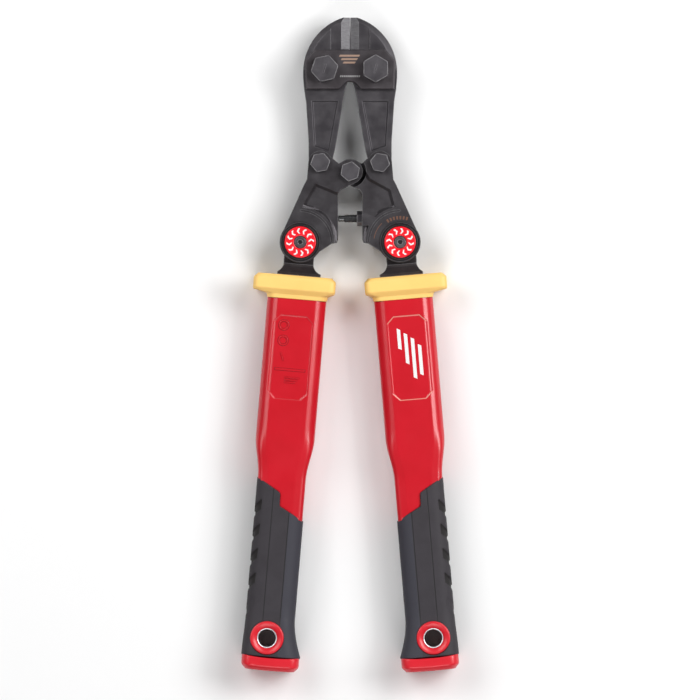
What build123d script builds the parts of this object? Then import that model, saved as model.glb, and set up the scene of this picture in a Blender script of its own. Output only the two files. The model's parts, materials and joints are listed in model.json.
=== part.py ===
from build123d import *
import os

# Bolt cutters lying flat: +Y towards the jaws, +Z up out of the front face.
# Sizes are in millimetres. While it is built, the model is measured from the
# midpoint between the two jaw bolts, on the tool's mid-plane; WHOLE_SHIFT then
# puts the origin at the middle of the bottom of the whole tool's box.

# ---- driving dimensions: whole tool ----
TIP_Y = 35.9              # jaw tips
END_Y = -422.54           # lowest corner of the handle caps
REST_HALF = 17.5          # half thickness over the jaw nuts, guards and handle ends
WHOLE_SHIFT = (0, -(TIP_Y + END_Y) / 2, REST_HALF)
RUN_FIT = 0.05            # radial clearance of a turning fit
SIDE_GAP = 0.3            # clearance between a lug and the slot it turns in

# ---- pivots ----
JAW_BOLT_X = 17.85
LINK = (-20.9, -65.7)     # left link bolt
CENTRE = (0, -71.9)       # bolt that joins the two arms
HINGE = (-34.9, -121.3)   # left handle pivot, under the push button
HANDLE_TILT = 4.8         # handle's lean away from the tool's long axis, degrees

# ---- jaws and plates ----
DOME_R = 40.56            # outer curve of each jaw
DOME_CENTRE = (7.66, -2.57)
DOME_MID = (-23.5, 23.4)
JAW_HALF = 5.5
PLATE_IN = 5.6
PLATE_OUT = 9.6
PLATE_HALF_WIDTH = 31.6
PLATE_TOP_Y = 13.4
PLATE_LOW_Y = -14.4
EDGE_GAP = 0.1            # from the middle plane to each cutting edge
EDGE_FLAT = 0.6           # half thickness left at the cutting edge
JAW_BORE_R = 5.5
JAW_BOLT_FLATS = 17.0
BOLT_MARK_LENGTH = 6.5    # shallow forged mark on each jaw bolt's head
BOLT_MARK_WIDTH = 0.9
BOLT_MARK_DEPTH = 0.25

# ---- arms ----
ARM_HALF = 10.0
FORK_HALF = JAW_HALF + SIDE_GAP
TONGUE_HALF = 5.8
ARM_SLOT_HALF = TONGUE_HALF + SIDE_GAP
LINK_LOBE_R = 8.3
CENTRE_LOBE_R = 8.75
HALF_LAP_Z = 0.15
LINK_BOLT_R = 4.5
CENTRE_BOLT_R = 4.0
ARM_HEAD_FLATS = 12.3
ARM_HEAD_TOP = 14.2
OPEN_PIVOT_SLACK = 2.3    # the opened pivot's extra radius, in the right arm's lug
LAP_CLEAR_R = CENTRE_LOBE_R + OPEN_PIVOT_SLACK + 0.2
POCKET_DEPTH = 2.0
POCKET_TAPER = 45
POCKET_ARC_R = 24.5
HINGE_RIM_TOP = 11.0
HINGE_RIM_R = 14.4
INNER_EDGE_X = -8.5
STOP_Y = -104.7
STOP_BORE_R = 2.9
STOP_BOSS_HALF = 4.9
STOP_TOUCH = 0.15         # the stop screw's gap to the other arm
STOP_THREAD_X = -4.5
STOP_INNER_X = 20.0
STOP_NUT_FLATS = 9.3
STOP_NUT_LENGTH = 3.8

# ---- handle pivot and its lock ----
PIN_R = 4.2
BUTTON_R = 11.0
BUTTON_LOW = 9.8
BUTTON_TOP = 12.8
BEZEL_IN_R = 11.2
BEZEL_OUT_R = 12.9
BEZEL_TOP = 11.5
GEAR_LOW = 3.8
GEAR_TOP = 7.4
GEAR_TIP_R = 10.2
GEAR_ROOT_R = 8.7
GEAR_TEETH = 12
GEAR_FIT = 0.25
TOOTH_ZONE_TOP = 7.6
TONGUE_R = 13.8
TONGUE_POCKET_Z = -2.0
SPRING_WIRE = 1.1
SPRING_MEAN_R = 6.4
SPRING_TURNS = 3
BUTTON_STEM_R = 6.5
BUTTON_PLAY = 0.25

# ---- handles, measured down the handle's own axis from its pivot ----
NECK_HALF_WIDTH = 10.5
NECK_HALF_THICK = 8.5
NECK_FULL_S = 15.2        # the neck is full thickness from here on
SKIRT_TOP_S = 17.0
SKIRT_LIP_S = 21.5
SKIRT_HALF_WIDTH = 15.2
GUARD_TOP_S = 23.5
GUARD_FLANGE_S = 36.8
SLEEVE_END_S = 40.0
TUBE_TOP_S = 37.0
HANDLE_SHIFT = 1.0        # the moulded handle lies this far to the inner side of its axis
GUARD_SHIFT = -1.5
GUARD_WIDTH = 57.6
GUARD_BEVEL_S = 33.4      # the front face's lower edge
GUARD_LIP_S = 35.0        # the flange keeps its full width down to here
GUARD_CORNER = 5.0
TUBE_WIDTH = 41.2
TUBE_THICK = 26.0
WAIST_START_S = 139.0
WAIST_END_S = 163.0
WAIST_WIDTH = 33.6
WAIST_THICK = 25.0
TUBE_END_S = 288.0
CORE_WIDTH = 29.0         # the tube's core, under the grip
CORE_THICK = 20.0
GRIP_WIDTH = 34.6
GRIP_THICK = 28.0
GRIP_TOP_S = 165.5
FLARE_START_S = 268.0
CAP_TOP_S = 291.5
CAP_END_S = 300.6
FLARE_WIDTH = 41.2
FLARE_SHIFT = 3.6         # the flare stands out on the inner side only
CAP_WIDTH = 40.2
CAP_BEVEL = 3.5
SHANK_WIDTH = 24.0
SHANK_THICK = 14.0
SHANK_END_S = 95.0
CAVITY_END_S = 250.0
HANG_S = 277.7
HANG_HOLE_R = 6.25
HANG_SLEEVE_R = 6.85
GROMMET_R = 12.0
GROMMET_SEAT_Z = CORE_THICK / 2 + 0.05
GROMMET_FACE_Z = 16.0
CAP_PLUG_WIDTH = 28.0
CAP_PLUG_THICK = 18.0
LABEL_HALF_WIDTH = 13.8
LABEL_TOP_S = 51.6
LABEL_END_S = 110.4
LABEL_CORNER = 4.8
LABEL_DEPTH = 0.8
GRIP_RECESSES = 5
GRIP_RECESS_S = 181.0      # top of the first recess, at its inner end
GRIP_RECESS_PITCH = 17.15
GRIP_RECESS_LENGTH = 7.5
GRIP_RECESS_DEPTH = 0.9
GRIP_RECESS_U = -10.9      # inner end of each recess
GRIP_RECESS_SLOPE = 0.6
SEAM_GAP = 0.05


# ---- small helpers ----
def outline(points):
    return make_face(Polyline(*points, close=True))


def slab(face, low, high):
    """The face as a plate from height low to height high."""
    return extrude(Pos(0, 0, low) * face, high - low, dir=(0, 0, 1))


def rod(centre, radius, low, high):
    return slab(Pos(*centre) * Circle(radius), low, high)


def both_sides(tool):
    """A cutting shape together with its twin on the back of the tool."""
    return tool + mirror(tool, Plane.XY)


def hex_head(centre, flats, low, high, turn=0):
    """Hexagon head with its outer corners turned off by a cone."""
    corner_r = flats / 3 ** 0.5
    turned = corner_r - flats / 2
    body = slab(Pos(*centre) * RegularPolygon(corner_r, 6, rotation=turn), low, high)
    blank = rod(centre, corner_r + turned / 2, low, high)
    top = blank.edges().group_by(Axis.Z)[-1 if high > 0 else 0]
    return body & chamfer(top, turned)


def solids_of(*pieces):
    return Compound(children=list(pieces))


# ---- jaws ----
def jaw_outline():
    dome = ThreePointArc((-4.9, TIP_Y), DOME_MID, (-32.9, -2))
    edge = Polyline(
        (-32.9, -2), (-32.9, -6), (-32.2, -14.4), (-30.9, -22.8), (-29.1, -50),
        (LINK[0] - 8.1, LINK[1]),
    )
    end = ThreePointArc(
        (LINK[0] - 8.1, LINK[1]), (LINK[0], LINK[1] - 8.1), (LINK[0] + 8.1, LINK[1])
    )
    inner = Polyline(
        (LINK[0] + 8.1, LINK[1]), (-10.6, -56.4), (-9.1, -48), (-7, -35.4), (-5, -22.8),
        (-3.5, -14.4), (-1.7, -9), (-EDGE_GAP, 0), (-EDGE_GAP, TIP_Y), (-4.9, TIP_Y),
    )
    return make_face(dome + edge + end + inner)


def left_jaw():
    jaw = slab(jaw_outline(), -JAW_HALF, JAW_HALF)
    # bevel round the dome, turned about the dome's own centre
    rim = Plane.XZ * outline([
        (DOME_R - 3.8, JAW_HALF + 1), (DOME_R - 3.8, JAW_HALF), (DOME_R + 1, JAW_HALF - 2.9),
        (DOME_R + 1, JAW_HALF + 1),
    ])
    rim = Pos(*DOME_CENTRE) * revolve(rim, Axis.Z)
    rim &= Pos(-50, 50, 0) * Box(100, 100, 40)
    # hollow beside the blade, and the blade's two ground bevels
    relief = slab(outline([(-13.5, 8), (0, 8), (0, TIP_Y + 1), (-13.5, TIP_Y + 1)]), 4.8, 6)
    bevel = Plane.XZ * outline([(-6.1, 4.8), (0, EDGE_FLAT), (0, 6), (-6.1, 6)])
    bevel = Pos(0, 8, 0) * extrude(bevel, TIP_Y, dir=(0, 1, 0))
    # tapered panel down the tail
    panel = Pos(0, 0, JAW_HALF) * outline(
        [(-27.0, -22.3), (-8.3, -22.3), (-14.7, -57.8), (-25.1, -54.2)]
    )
    panel = extrude(panel, 1.2, dir=(0, 0, -1), taper=40)
    jaw -= both_sides(rim)
    jaw -= both_sides(relief)
    jaw -= both_sides(bevel)
    jaw -= both_sides(panel)
    jaw -= rod((-JAW_BOLT_X, 0), JAW_BORE_R + RUN_FIT, -JAW_HALF, JAW_HALF)
    jaw -= rod(LINK, LINK_BOLT_R + RUN_FIT, -JAW_HALF, JAW_HALF)
    return jaw


def front_plate():
    corner = (25.0, 5.6)
    half = [
        (7.3, PLATE_LOW_Y), (PLATE_HALF_WIDTH - 0.6, PLATE_LOW_Y), (PLATE_HALF_WIDTH, 0),
        (PLATE_HALF_WIDTH, corner[1]), (corner[0], PLATE_TOP_Y),
    ]
    points = half + [(-x, y) for x, y in reversed(half)]
    face = make_face(
        Polyline(*points) + Polyline((-7.3, PLATE_LOW_Y), (-4.2, -11.0))
        + ThreePointArc((-4.2, -11.0), (0, -9.0), (4.2, -11.0))
        + Polyline((4.2, -11.0), (7.3, PLATE_LOW_Y))
    )
    plate = slab(face, PLATE_IN, PLATE_OUT)
    plate = chamfer(plate.edges().group_by(Axis.Z)[-1], 0.8)
    for side in (-1, 1):
        plate -= rod((side * JAW_BOLT_X, 0), JAW_BORE_R + RUN_FIT, PLATE_IN, PLATE_OUT)
    return plate


def jaw_bolt(side, turn):
    centre = (side * JAW_BOLT_X, 0)
    head = hex_head(centre, JAW_BOLT_FLATS, PLATE_OUT, REST_HALF, turn)
    mark = Pos(*centre) * Rot(0, 0, 75) * SlotOverall(BOLT_MARK_LENGTH, BOLT_MARK_WIDTH)
    head -= slab(mark, REST_HALF - BOLT_MARK_DEPTH, REST_HALF)
    return head + rod(centre, JAW_BORE_R, -REST_HALF + 1.5, PLATE_OUT)


def jaw_nut(side):
    centre = (side * JAW_BOLT_X, 0)
    nut = hex_head(centre, JAW_BOLT_FLATS, -REST_HALF, -PLATE_OUT, 30)
    return nut - rod(centre, JAW_BORE_R + RUN_FIT, -REST_HALF, -PLATE_OUT)


# ---- arms ----
def arm_face():
    """Left arm seen from the front: link lobe, centre lobe, body and hinge end."""
    body = outline([
        (LINK[0] - LINK_LOBE_R, LINK[1]), (-30.2, -77.4), (-32.4, -81.6), (-48.6, -117.5),
        (HINGE[0], HINGE[1] - 5), (-24.9, -131.8), (-21.3, -127.8), (-13, -122.4),
        (-9.2, -121.6), (INNER_EDGE_X, -119.4), (INNER_EDGE_X, -87.2), (-6.3, -84.4),
        (3.2, -80.1), CENTRE, (-2.4, -63.5), (-8.1, -66.2), (-13.6, -61.6), LINK,
    ])
    lobes = Pos(*LINK) * Circle(LINK_LOBE_R) + Pos(*CENTRE) * Circle(CENTRE_LOBE_R)
    return body + lobes + Pos(*HINGE) * Circle(HINGE_RIM_R)


def hinge_place():
    return Location((HINGE[0], HINGE[1], 0), (0, 0, -HANDLE_TILT))


def fork_slot():
    """Room between the arm's cheeks for the jaw's tail as the arm swings."""
    face = Pos(*LINK) * Circle(LINK_LOBE_R + 0.7)
    face += outline([(-45, -66.5), (-10.4, -66.5), (-9.6, -50), (-45, -50)])
    # room for the tail's outer edge at full swing
    face += Pos(*LINK) * outline([(0, 0), (-4.6, -7.7), (-30, 7.5), (-30, 15)])
    return slab(face, -FORK_HALF, FORK_HALF)


def tongue_slot():
    """Room between the cheeks for the handle's tongue, open on the outer side."""
    reach = NECK_HALF_WIDTH + 0.7
    opening = outline([(-60, reach), (reach, reach), (reach, -60), (-60, -60)])
    face = hinge_place() * (opening & Rectangle(100, 100)) + Pos(*HINGE) * Circle(TONGUE_R + 0.4)
    return slab(face, -ARM_SLOT_HALF, ARM_SLOT_HALF)


def gear_face(grow=0.0):
    """Toothed ring outline of the handle lock, without its bore."""
    tooth = Pos((GEAR_ROOT_R + GEAR_TIP_R) / 2, 0) * Rectangle(
        GEAR_TIP_R - GEAR_ROOT_R + 1 + 2 * grow, 2.2 + 2 * grow
    )
    face = Circle(GEAR_ROOT_R + grow)
    for index in range(GEAR_TEETH):
        face += Rot(0, 0, index * 360 / GEAR_TEETH) * tooth
    return face & Circle(GEAR_TIP_R + grow)


LEFT_POCKET = [
    (-24.5, -80.1), (-9.6, -86.2), (-6, -87), (-6, -125), (-13, -125), (-34.6, -98.5),
    (-33.9, -96.7),
]
RIGHT_POCKET = [
    (-11.1, -71.7), (-13.9, -76.7), (-28.2, -84.6), (-31.1, -95.3), (-34.6, -98.5),
    (-13, -125), (-3, -125), (-3, -71.7),
]


def arm(lap_low, lap_high, centre_r, pocket_corners):
    """Arm in the left-hand place. The half-lap cut for the other arm's lug runs
    from lap_low to lap_high. The sunk panel in each face is bounded below by an
    arc about the handle pivot."""
    arm = slab(arm_face(), -ARM_HALF, ARM_HALF)
    arm -= fork_slot()
    arm -= tongue_slot()
    arm -= rod(CENTRE, LAP_CLEAR_R, lap_low, lap_high)
    pocket = outline(pocket_corners) - Pos(*HINGE) * Circle(POCKET_ARC_R)
    pocket = extrude(Pos(0, 0, ARM_HALF) * pocket, POCKET_DEPTH, dir=(0, 0, -1), taper=POCKET_TAPER)
    arm -= both_sides(pocket)
    groove = Circle(22.6) - Circle(21.4)
    groove = Pos(*HINGE) * (groove & Pos(15, 15) * Rectangle(30, 30))
    arm -= both_sides(slab(groove, ARM_HALF - 0.5, ARM_HALF))
    arm -= rod(LINK, LINK_BOLT_R + RUN_FIT, -ARM_HALF, ARM_HALF)
    arm -= rod(CENTRE, centre_r, -ARM_HALF, ARM_HALF)
    arm -= rod(HINGE, PIN_R + RUN_FIT, -ARM_HALF, 0)
    arm -= rod(HINGE, BEZEL_IN_R, TOOTH_ZONE_TOP, ARM_HALF)
    arm -= slab(Pos(*HINGE) * gear_face(GEAR_FIT), 0, ARM_HALF)
    rim = slab(Circle(HINGE_RIM_R) - Circle(BEZEL_OUT_R + RUN_FIT), ARM_HALF, HINGE_RIM_TOP)
    rim = chamfer(rim.edges().group_by(Axis.Z)[-1], 0.5)
    return arm + Pos(*HINGE) * rim


def left_arm():
    return arm(-ARM_HALF, HALF_LAP_Z, CENTRE_BOLT_R + RUN_FIT, LEFT_POCKET)


def right_arm():
    """Mirror of the left arm with the lap on the other side, a slack centre bore
    and the boss that takes the stop screw."""
    right = arm(-HALF_LAP_Z, ARM_HALF, CENTRE_BOLT_R + OPEN_PIVOT_SLACK, RIGHT_POCKET)
    boss = outline([
        (INNER_EDGE_X, STOP_Y - STOP_BOSS_HALF), (INNER_EDGE_X, STOP_Y + STOP_BOSS_HALF),
        (-29, STOP_Y + STOP_BOSS_HALF), (-29, STOP_Y - STOP_BOSS_HALF),
    ]) - Pos(*HINGE) * Circle(POCKET_ARC_R - 0.5)
    boss = slab(boss, -ARM_HALF, ARM_HALF)
    slope = outline([
        (STOP_Y, ARM_HALF + 0.1), (STOP_Y + STOP_BOSS_HALF + 0.1, ARM_HALF + 0.1),
        (STOP_Y + STOP_BOSS_HALF + 0.1, ARM_HALF - POCKET_DEPTH),
    ])
    slope = extrude(Plane.YZ * slope, 40, dir=(-1, 0, 0))
    right += boss - both_sides(slope)
    right = mirror(right, Plane.YZ)
    return right - x_rod(STOP_BORE_R + RUN_FIT, 0, STOP_INNER_X + RUN_FIT)


def x_rod(radius, start, end):
    """Rod along X on the stop screw's axis."""
    return Pos(start, STOP_Y, 0) * extrude(Plane.YZ * Circle(radius), end - start)


def stop_screw():
    dog_point = x_rod(STOP_BORE_R - 0.7, INNER_EDGE_X + STOP_TOUCH, STOP_THREAD_X)
    return dog_point + x_rod(STOP_BORE_R, STOP_THREAD_X, STOP_INNER_X)


def stop_lock_nut():
    face = Plane.YZ * RegularPolygon(STOP_NUT_FLATS / 3 ** 0.5, 6)
    nut = Pos(-INNER_EDGE_X - STOP_NUT_LENGTH, STOP_Y, 0) * extrude(face, STOP_NUT_LENGTH)
    return nut - x_rod(STOP_BORE_R + RUN_FIT, 0, 20)


def arm_bolt(centre, radius, low, turn):
    return hex_head(centre, ARM_HEAD_FLATS, ARM_HALF, ARM_HEAD_TOP, turn) + rod(
        centre, radius, low, ARM_HALF
    )


def arm_nut(centre, radius, top):
    nut = hex_head(centre, ARM_HEAD_FLATS, -ARM_HEAD_TOP, top)
    return nut - rod(centre, radius + RUN_FIT, -ARM_HEAD_TOP, top)


# ---- handle pivot, push button and lock ----
def pivot_pin():
    pin = rod((0, 0), PIN_R, -ARM_HALF - 3, BUTTON_TOP - 0.4)
    pin = chamfer(pin.edges().group_by(Axis.Z)[-1], 0.5)
    return pin - slab(RegularPolygon(1.8, 6), BUTTON_TOP - 3, BUTTON_TOP)


def pivot_nut():
    nut = hex_head((0, 0), ARM_HEAD_FLATS, -ARM_HALF - 3.6, -ARM_HALF)
    return nut - rod((0, 0), PIN_R + RUN_FIT, -ARM_HALF - 3.6, -ARM_HALF)


def bezel():
    ring = slab(Circle(BEZEL_OUT_R) - Circle(BEZEL_IN_R), ARM_HALF, BEZEL_TOP)
    return chamfer(ring.edges().group_by(Axis.Z)[-1], 0.5)


def push_button():
    disc = rod((0, 0), BUTTON_R, BUTTON_LOW, BUTTON_TOP)
    disc = chamfer(disc.edges().group_by(Axis.Z)[-1], 0.8)
    disc += rod((0, 0), BUTTON_STEM_R, GEAR_TOP, BUTTON_LOW)
    return disc - rod((0, 0), PIN_R + BUTTON_PLAY, GEAR_TOP, BUTTON_TOP)


def lock_gear():
    return slab(gear_face() - Circle(PIN_R + BUTTON_PLAY), GEAR_LOW, GEAR_TOP)


def button_spring():
    height = GEAR_LOW - TONGUE_POCKET_Z - SPRING_WIRE
    path = Helix(pitch=height / SPRING_TURNS, height=height, radius=SPRING_MEAN_R)
    path = Pos(0, 0, TONGUE_POCKET_Z + SPRING_WIRE / 2) * path
    section = Plane(path @ 0, z_dir=path % 0) * Circle(SPRING_WIRE / 2 - 0.02)
    return sweep(section, path=path, is_frenet=True)


# ---- handles ----
def section(s, width, thick, radius, shift=HANDLE_SHIFT):
    """Rounded rectangle across the handle at distance s from its pivot."""
    across = Plane(origin=(shift, -s, 0), x_dir=(1, 0, 0), z_dir=(0, -1, 0))
    return across * RectangleRounded(width, thick, radius)


def block(start, end, width, thick):
    return Pos(0, -(start + end) / 2, 0) * Box(width, end - start, thick)


def handle_fitting():
    """Tongue, neck and flared skirt, seen from the front and from the side, with the
    shank that the handle is moulded around."""
    left, right = HANDLE_SHIFT - SKIRT_HALF_WIDTH, HANDLE_SHIFT + SKIRT_HALF_WIDTH
    front = make_face(
        Polyline((-NECK_HALF_WIDTH, 0), (-NECK_HALF_WIDTH, -13.5))
        + ThreePointArc((-NECK_HALF_WIDTH, -13.5), (-11.0, -18.2), (left, -SKIRT_LIP_S))
        + Polyline(
            (left, -SKIRT_LIP_S), (left, -GUARD_TOP_S), (right, -GUARD_TOP_S),
            (right, -SKIRT_LIP_S),
        )
        + ThreePointArc((right, -SKIRT_LIP_S), (11.6, -18.2), (NECK_HALF_WIDTH, -13.5))
        + Polyline((NECK_HALF_WIDTH, -13.5), (NECK_HALF_WIDTH, 0), (-NECK_HALF_WIDTH, 0))
    )
    side = outline([
        (0, TONGUE_HALF), (-NECK_FULL_S, TONGUE_HALF), (-NECK_FULL_S, NECK_HALF_THICK),
        (-SKIRT_TOP_S, NECK_HALF_THICK), (-SKIRT_LIP_S, 11.5), (-GUARD_TOP_S, 11.5),
        (-GUARD_TOP_S, -11.5), (-SKIRT_LIP_S, -11.5), (-SKIRT_TOP_S, -NECK_HALF_THICK),
        (-NECK_FULL_S, -NECK_HALF_THICK), (-NECK_FULL_S, -TONGUE_HALF), (0, -TONGUE_HALF),
    ])
    neck = slab(front, -12, 12) & extrude(Plane.YZ * side, 20, both=True)
    tongue = rod((0, 0), TONGUE_R, -TONGUE_HALF, TONGUE_HALF)
    fitting = tongue + neck + block(GUARD_TOP_S, SHANK_END_S, SHANK_WIDTH, SHANK_THICK)
    fitting -= rod((0, 0), PIN_R + RUN_FIT, -TONGUE_HALF, TONGUE_HALF)
    return fitting - rod((0, 0), GEAR_TIP_R + 0.4, TONGUE_POCKET_Z, TONGUE_HALF)


def guard():
    thick = 2 * REST_HALF
    flange = loft([
        section(GUARD_TOP_S, GUARD_WIDTH - 5.2, thick - 5, GUARD_CORNER - 1, GUARD_SHIFT),
        section(GUARD_TOP_S + 2.8, GUARD_WIDTH, thick, GUARD_CORNER, GUARD_SHIFT),
        section(GUARD_BEVEL_S, GUARD_WIDTH, thick, GUARD_CORNER, GUARD_SHIFT),
        section(GUARD_LIP_S, GUARD_WIDTH - 0.6, thick - 3, GUARD_CORNER, GUARD_SHIFT),
        section(GUARD_FLANGE_S, TUBE_WIDTH + 4, TUBE_THICK + 3, 9, 0),
    ], ruled=True)
    sleeve = loft([
        section(GUARD_FLANGE_S, TUBE_WIDTH + 2.2, TUBE_THICK + 2.2, 9),
        section(SLEEVE_END_S, TUBE_WIDTH + 1.6, TUBE_THICK + 1.6, 9),
    ])
    cup = flange + sleeve
    cup -= block(GUARD_TOP_S, TUBE_TOP_S, SHANK_WIDTH + 0.1, SHANK_THICK + 0.1)
    return cup - loft([
        section(TUBE_TOP_S, TUBE_WIDTH + 0.1, TUBE_THICK + 0.1, 8),
        section(SLEEVE_END_S, TUBE_WIDTH + 0.1, TUBE_THICK + 0.1, 8),
    ])


def above_grip(gap=0.0):
    """Everything up the handle from the grip's stepped, slanting top edge."""
    edge = [(-30, -GRIP_TOP_S), (-15.7, -GRIP_TOP_S), (0.5, -175.7), (1.0, -185.2), (18.5, -194.3)]
    points = [(x, y + gap) for x, y in edge]
    return slab(
        outline([(-30, 0)] + points + [(30, -194.3 + gap), (30, 0)]), -REST_HALF, REST_HALF
    )


def core(grow=0.0):
    return loft([
        section(WAIST_START_S, CORE_WIDTH + grow, CORE_THICK + grow, 7),
        section(TUBE_END_S, CORE_WIDTH + grow, CORE_THICK + grow, 7),
    ])


def handle_tube():
    skin = loft([
        section(TUBE_TOP_S, TUBE_WIDTH, TUBE_THICK, 8),
        section(WAIST_START_S, TUBE_WIDTH, TUBE_THICK, 8),
        section(WAIST_END_S, WAIST_WIDTH, WAIST_THICK, 8),
        section(CAVITY_END_S, WAIST_WIDTH, WAIST_THICK, 8),
    ], ruled=True)
    tube = (skin & above_grip(SEAM_GAP)) + core()
    tube -= block(TUBE_TOP_S, CAVITY_END_S, SHANK_WIDTH + 0.1, SHANK_THICK + 0.1)
    half, cut = LABEL_HALF_WIDTH, LABEL_CORNER
    label = outline([
        (-half, -LABEL_TOP_S - cut), (-half + cut, -LABEL_TOP_S), (half - cut, -LABEL_TOP_S),
        (half, -LABEL_TOP_S - cut), (half, -LABEL_END_S + cut), (half - cut, -LABEL_END_S),
        (-half + cut, -LABEL_END_S), (-half, -LABEL_END_S + cut),
    ])
    label = extrude(Pos(0, 0, TUBE_THICK / 2) * label, LABEL_DEPTH, dir=(0, 0, -1), taper=35)
    tube -= both_sides(label)
    return tube - rod((0, -HANG_S), HANG_SLEEVE_R + RUN_FIT, -REST_HALF, REST_HALF)


def grip_body(shrink=0.0):
    width, thick = GRIP_WIDTH - 2 * shrink, GRIP_THICK - 2 * shrink
    return loft([
        section(GRIP_TOP_S - 4, width, thick, 9),
        section(FLARE_START_S, width, thick, 9),
        section(
            CAP_TOP_S, FLARE_WIDTH - 2 * shrink, 2 * REST_HALF - 2 * shrink, 9, FLARE_SHIFT
        ),
    ], ruled=True)


def grip():
    solid = grip_body() - core(2 * SEAM_GAP) - above_grip()
    skin = grip_body() - grip_body(GRIP_RECESS_DEPTH)
    for index in range(GRIP_RECESSES):
        s = GRIP_RECESS_S + index * GRIP_RECESS_PITCH
        rise = GRIP_RECESS_SLOPE * (GRIP_RECESS_U + 25)
        patch = outline([
            (GRIP_RECESS_U, -s), (GRIP_RECESS_U, -s - GRIP_RECESS_LENGTH),
            (-25, -s - GRIP_RECESS_LENGTH - rise), (-25, -s - rise),
        ])
        solid -= slab(patch, -REST_HALF, REST_HALF) & skin
    solid -= block(TUBE_END_S, CAP_TOP_S, CAP_PLUG_WIDTH + 0.1, CAP_PLUG_THICK + 0.1)
    return solid - rod((0, -HANG_S), GROMMET_R + RUN_FIT, -REST_HALF, REST_HALF)


def end_cap():
    cap = loft([
        section(CAP_TOP_S, CAP_WIDTH, 2 * REST_HALF, 9, FLARE_SHIFT),
        section(CAP_END_S - CAP_BEVEL, CAP_WIDTH, 2 * REST_HALF, 9, FLARE_SHIFT),
        section(CAP_END_S, CAP_WIDTH - 2 * CAP_BEVEL, 2 * (REST_HALF - CAP_BEVEL), 6, FLARE_SHIFT),
    ], ruled=True)
    return cap + block(TUBE_END_S, CAP_TOP_S, CAP_PLUG_WIDTH, CAP_PLUG_THICK)


def hang_sleeve():
    ring = Circle(HANG_SLEEVE_R) - Circle(HANG_HOLE_R)
    return slab(Pos(0, -HANG_S) * ring, -GROMMET_FACE_Z, GROMMET_FACE_Z)


def grommets():
    """Two funnel rings, one in each face of the grip."""
    profile = outline([
        (HANG_SLEEVE_R + RUN_FIT, GROMMET_SEAT_Z), (GROMMET_R, GROMMET_SEAT_Z),
        (GROMMET_R, GROMMET_FACE_Z), (GROMMET_R - 2, GROMMET_FACE_Z),
        (HANG_SLEEVE_R + RUN_FIT, GROMMET_FACE_Z - 2.2),
    ])
    ring = Pos(0, -HANG_S, 0) * revolve(Plane.XZ * profile, Axis.Z)
    return solids_of(ring, mirror(ring, Plane.XY))


# ---- the whole tool, node by node ----
def side_nodes():
    """Nodes that both sides have, in the left-hand place."""
    at_hinge = Location((HINGE[0], HINGE[1], 0))
    nodes = {
        "jaw": left_jaw(),
        "link_bolt": arm_bolt(LINK, LINK_BOLT_R, -ARM_HEAD_TOP + 1, 10),
        "link_nut": arm_nut(LINK, LINK_BOLT_R, -ARM_HALF),
        "pivot_pin": at_hinge * pivot_pin(),
        "pivot_nut": at_hinge * pivot_nut(),
        "bezel": at_hinge * bezel(),
        "push_button": at_hinge * push_button(),
        "lock_gear": at_hinge * lock_gear(),
        "button_spring": at_hinge * button_spring(),
    }
    on_handle = {
        "handle_fitting": handle_fitting(),
        "guard": guard(),
        "handle_tube": handle_tube(),
        "grip": grip(),
        "end_cap": end_cap(),
        "hang_sleeve": hang_sleeve(),
        "hang_grommets": grommets(),
    }
    for name, shape in on_handle.items():
        nodes[name] = hinge_place() * shape
    return nodes


def all_nodes():
    plate = front_plate()
    nodes = {
        "front_plate": plate,
        "back_plate": mirror(plate, Plane.XY),
        "jaw_bolts": solids_of(jaw_bolt(-1, 12), jaw_bolt(1, 30)),
        "jaw_nuts": solids_of(jaw_nut(-1), jaw_nut(1)),
        "left_arm": left_arm(),
        "right_arm": right_arm(),
        "centre_bolt": arm_bolt(CENTRE, CENTRE_BOLT_R, -ARM_HEAD_TOP + 1, 20),
        "centre_nut": arm_nut(CENTRE, CENTRE_BOLT_R, -ARM_HALF - SIDE_GAP),
        "stop_screw": stop_screw(),
        "stop_lock_nut": stop_lock_nut(),
    }
    for name, shape in side_nodes().items():
        nodes["left_" + name] = shape
        nodes["right_" + name] = mirror(shape, Plane.YZ)
    return nodes


if __name__ == "__main__":
    os.makedirs("parts", exist_ok=True)
    for name, shape in all_nodes().items():
        export_step(Pos(*WHOLE_SHIFT) * shape, f"parts/{name}.step")
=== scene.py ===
import json
import math

import bmesh
import bpy
import numpy as np
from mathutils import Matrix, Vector


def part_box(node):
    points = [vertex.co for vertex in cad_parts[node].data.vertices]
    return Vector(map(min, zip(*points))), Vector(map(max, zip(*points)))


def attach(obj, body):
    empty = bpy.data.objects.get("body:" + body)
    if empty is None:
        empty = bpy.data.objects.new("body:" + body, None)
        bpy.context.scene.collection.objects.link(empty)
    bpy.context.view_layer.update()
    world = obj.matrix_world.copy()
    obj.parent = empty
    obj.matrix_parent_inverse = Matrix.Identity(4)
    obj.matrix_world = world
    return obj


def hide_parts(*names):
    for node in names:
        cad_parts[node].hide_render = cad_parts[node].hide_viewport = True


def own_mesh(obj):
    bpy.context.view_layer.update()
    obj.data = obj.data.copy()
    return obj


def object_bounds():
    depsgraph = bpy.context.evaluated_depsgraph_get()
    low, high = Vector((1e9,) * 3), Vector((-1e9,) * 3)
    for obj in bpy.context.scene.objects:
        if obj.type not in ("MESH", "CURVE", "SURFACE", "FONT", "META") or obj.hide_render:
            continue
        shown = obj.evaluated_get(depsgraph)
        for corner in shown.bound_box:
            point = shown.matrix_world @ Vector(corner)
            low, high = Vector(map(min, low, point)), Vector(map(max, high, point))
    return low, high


# Bolt cutters lying on their back on a pale floor, seen from straight above.
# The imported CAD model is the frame. The moulded handles, buttons, button springs
# and the stop screw are finer pieces built here, in millimetres; the rest of the
# steel stays CAD, with softened edges and its own finish.
#
# A handle's own coordinates are (u, s, z): u across it and positive towards the
# middle of the tool, s down from its pivot, z up from the tool's mid-plane.

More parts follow.
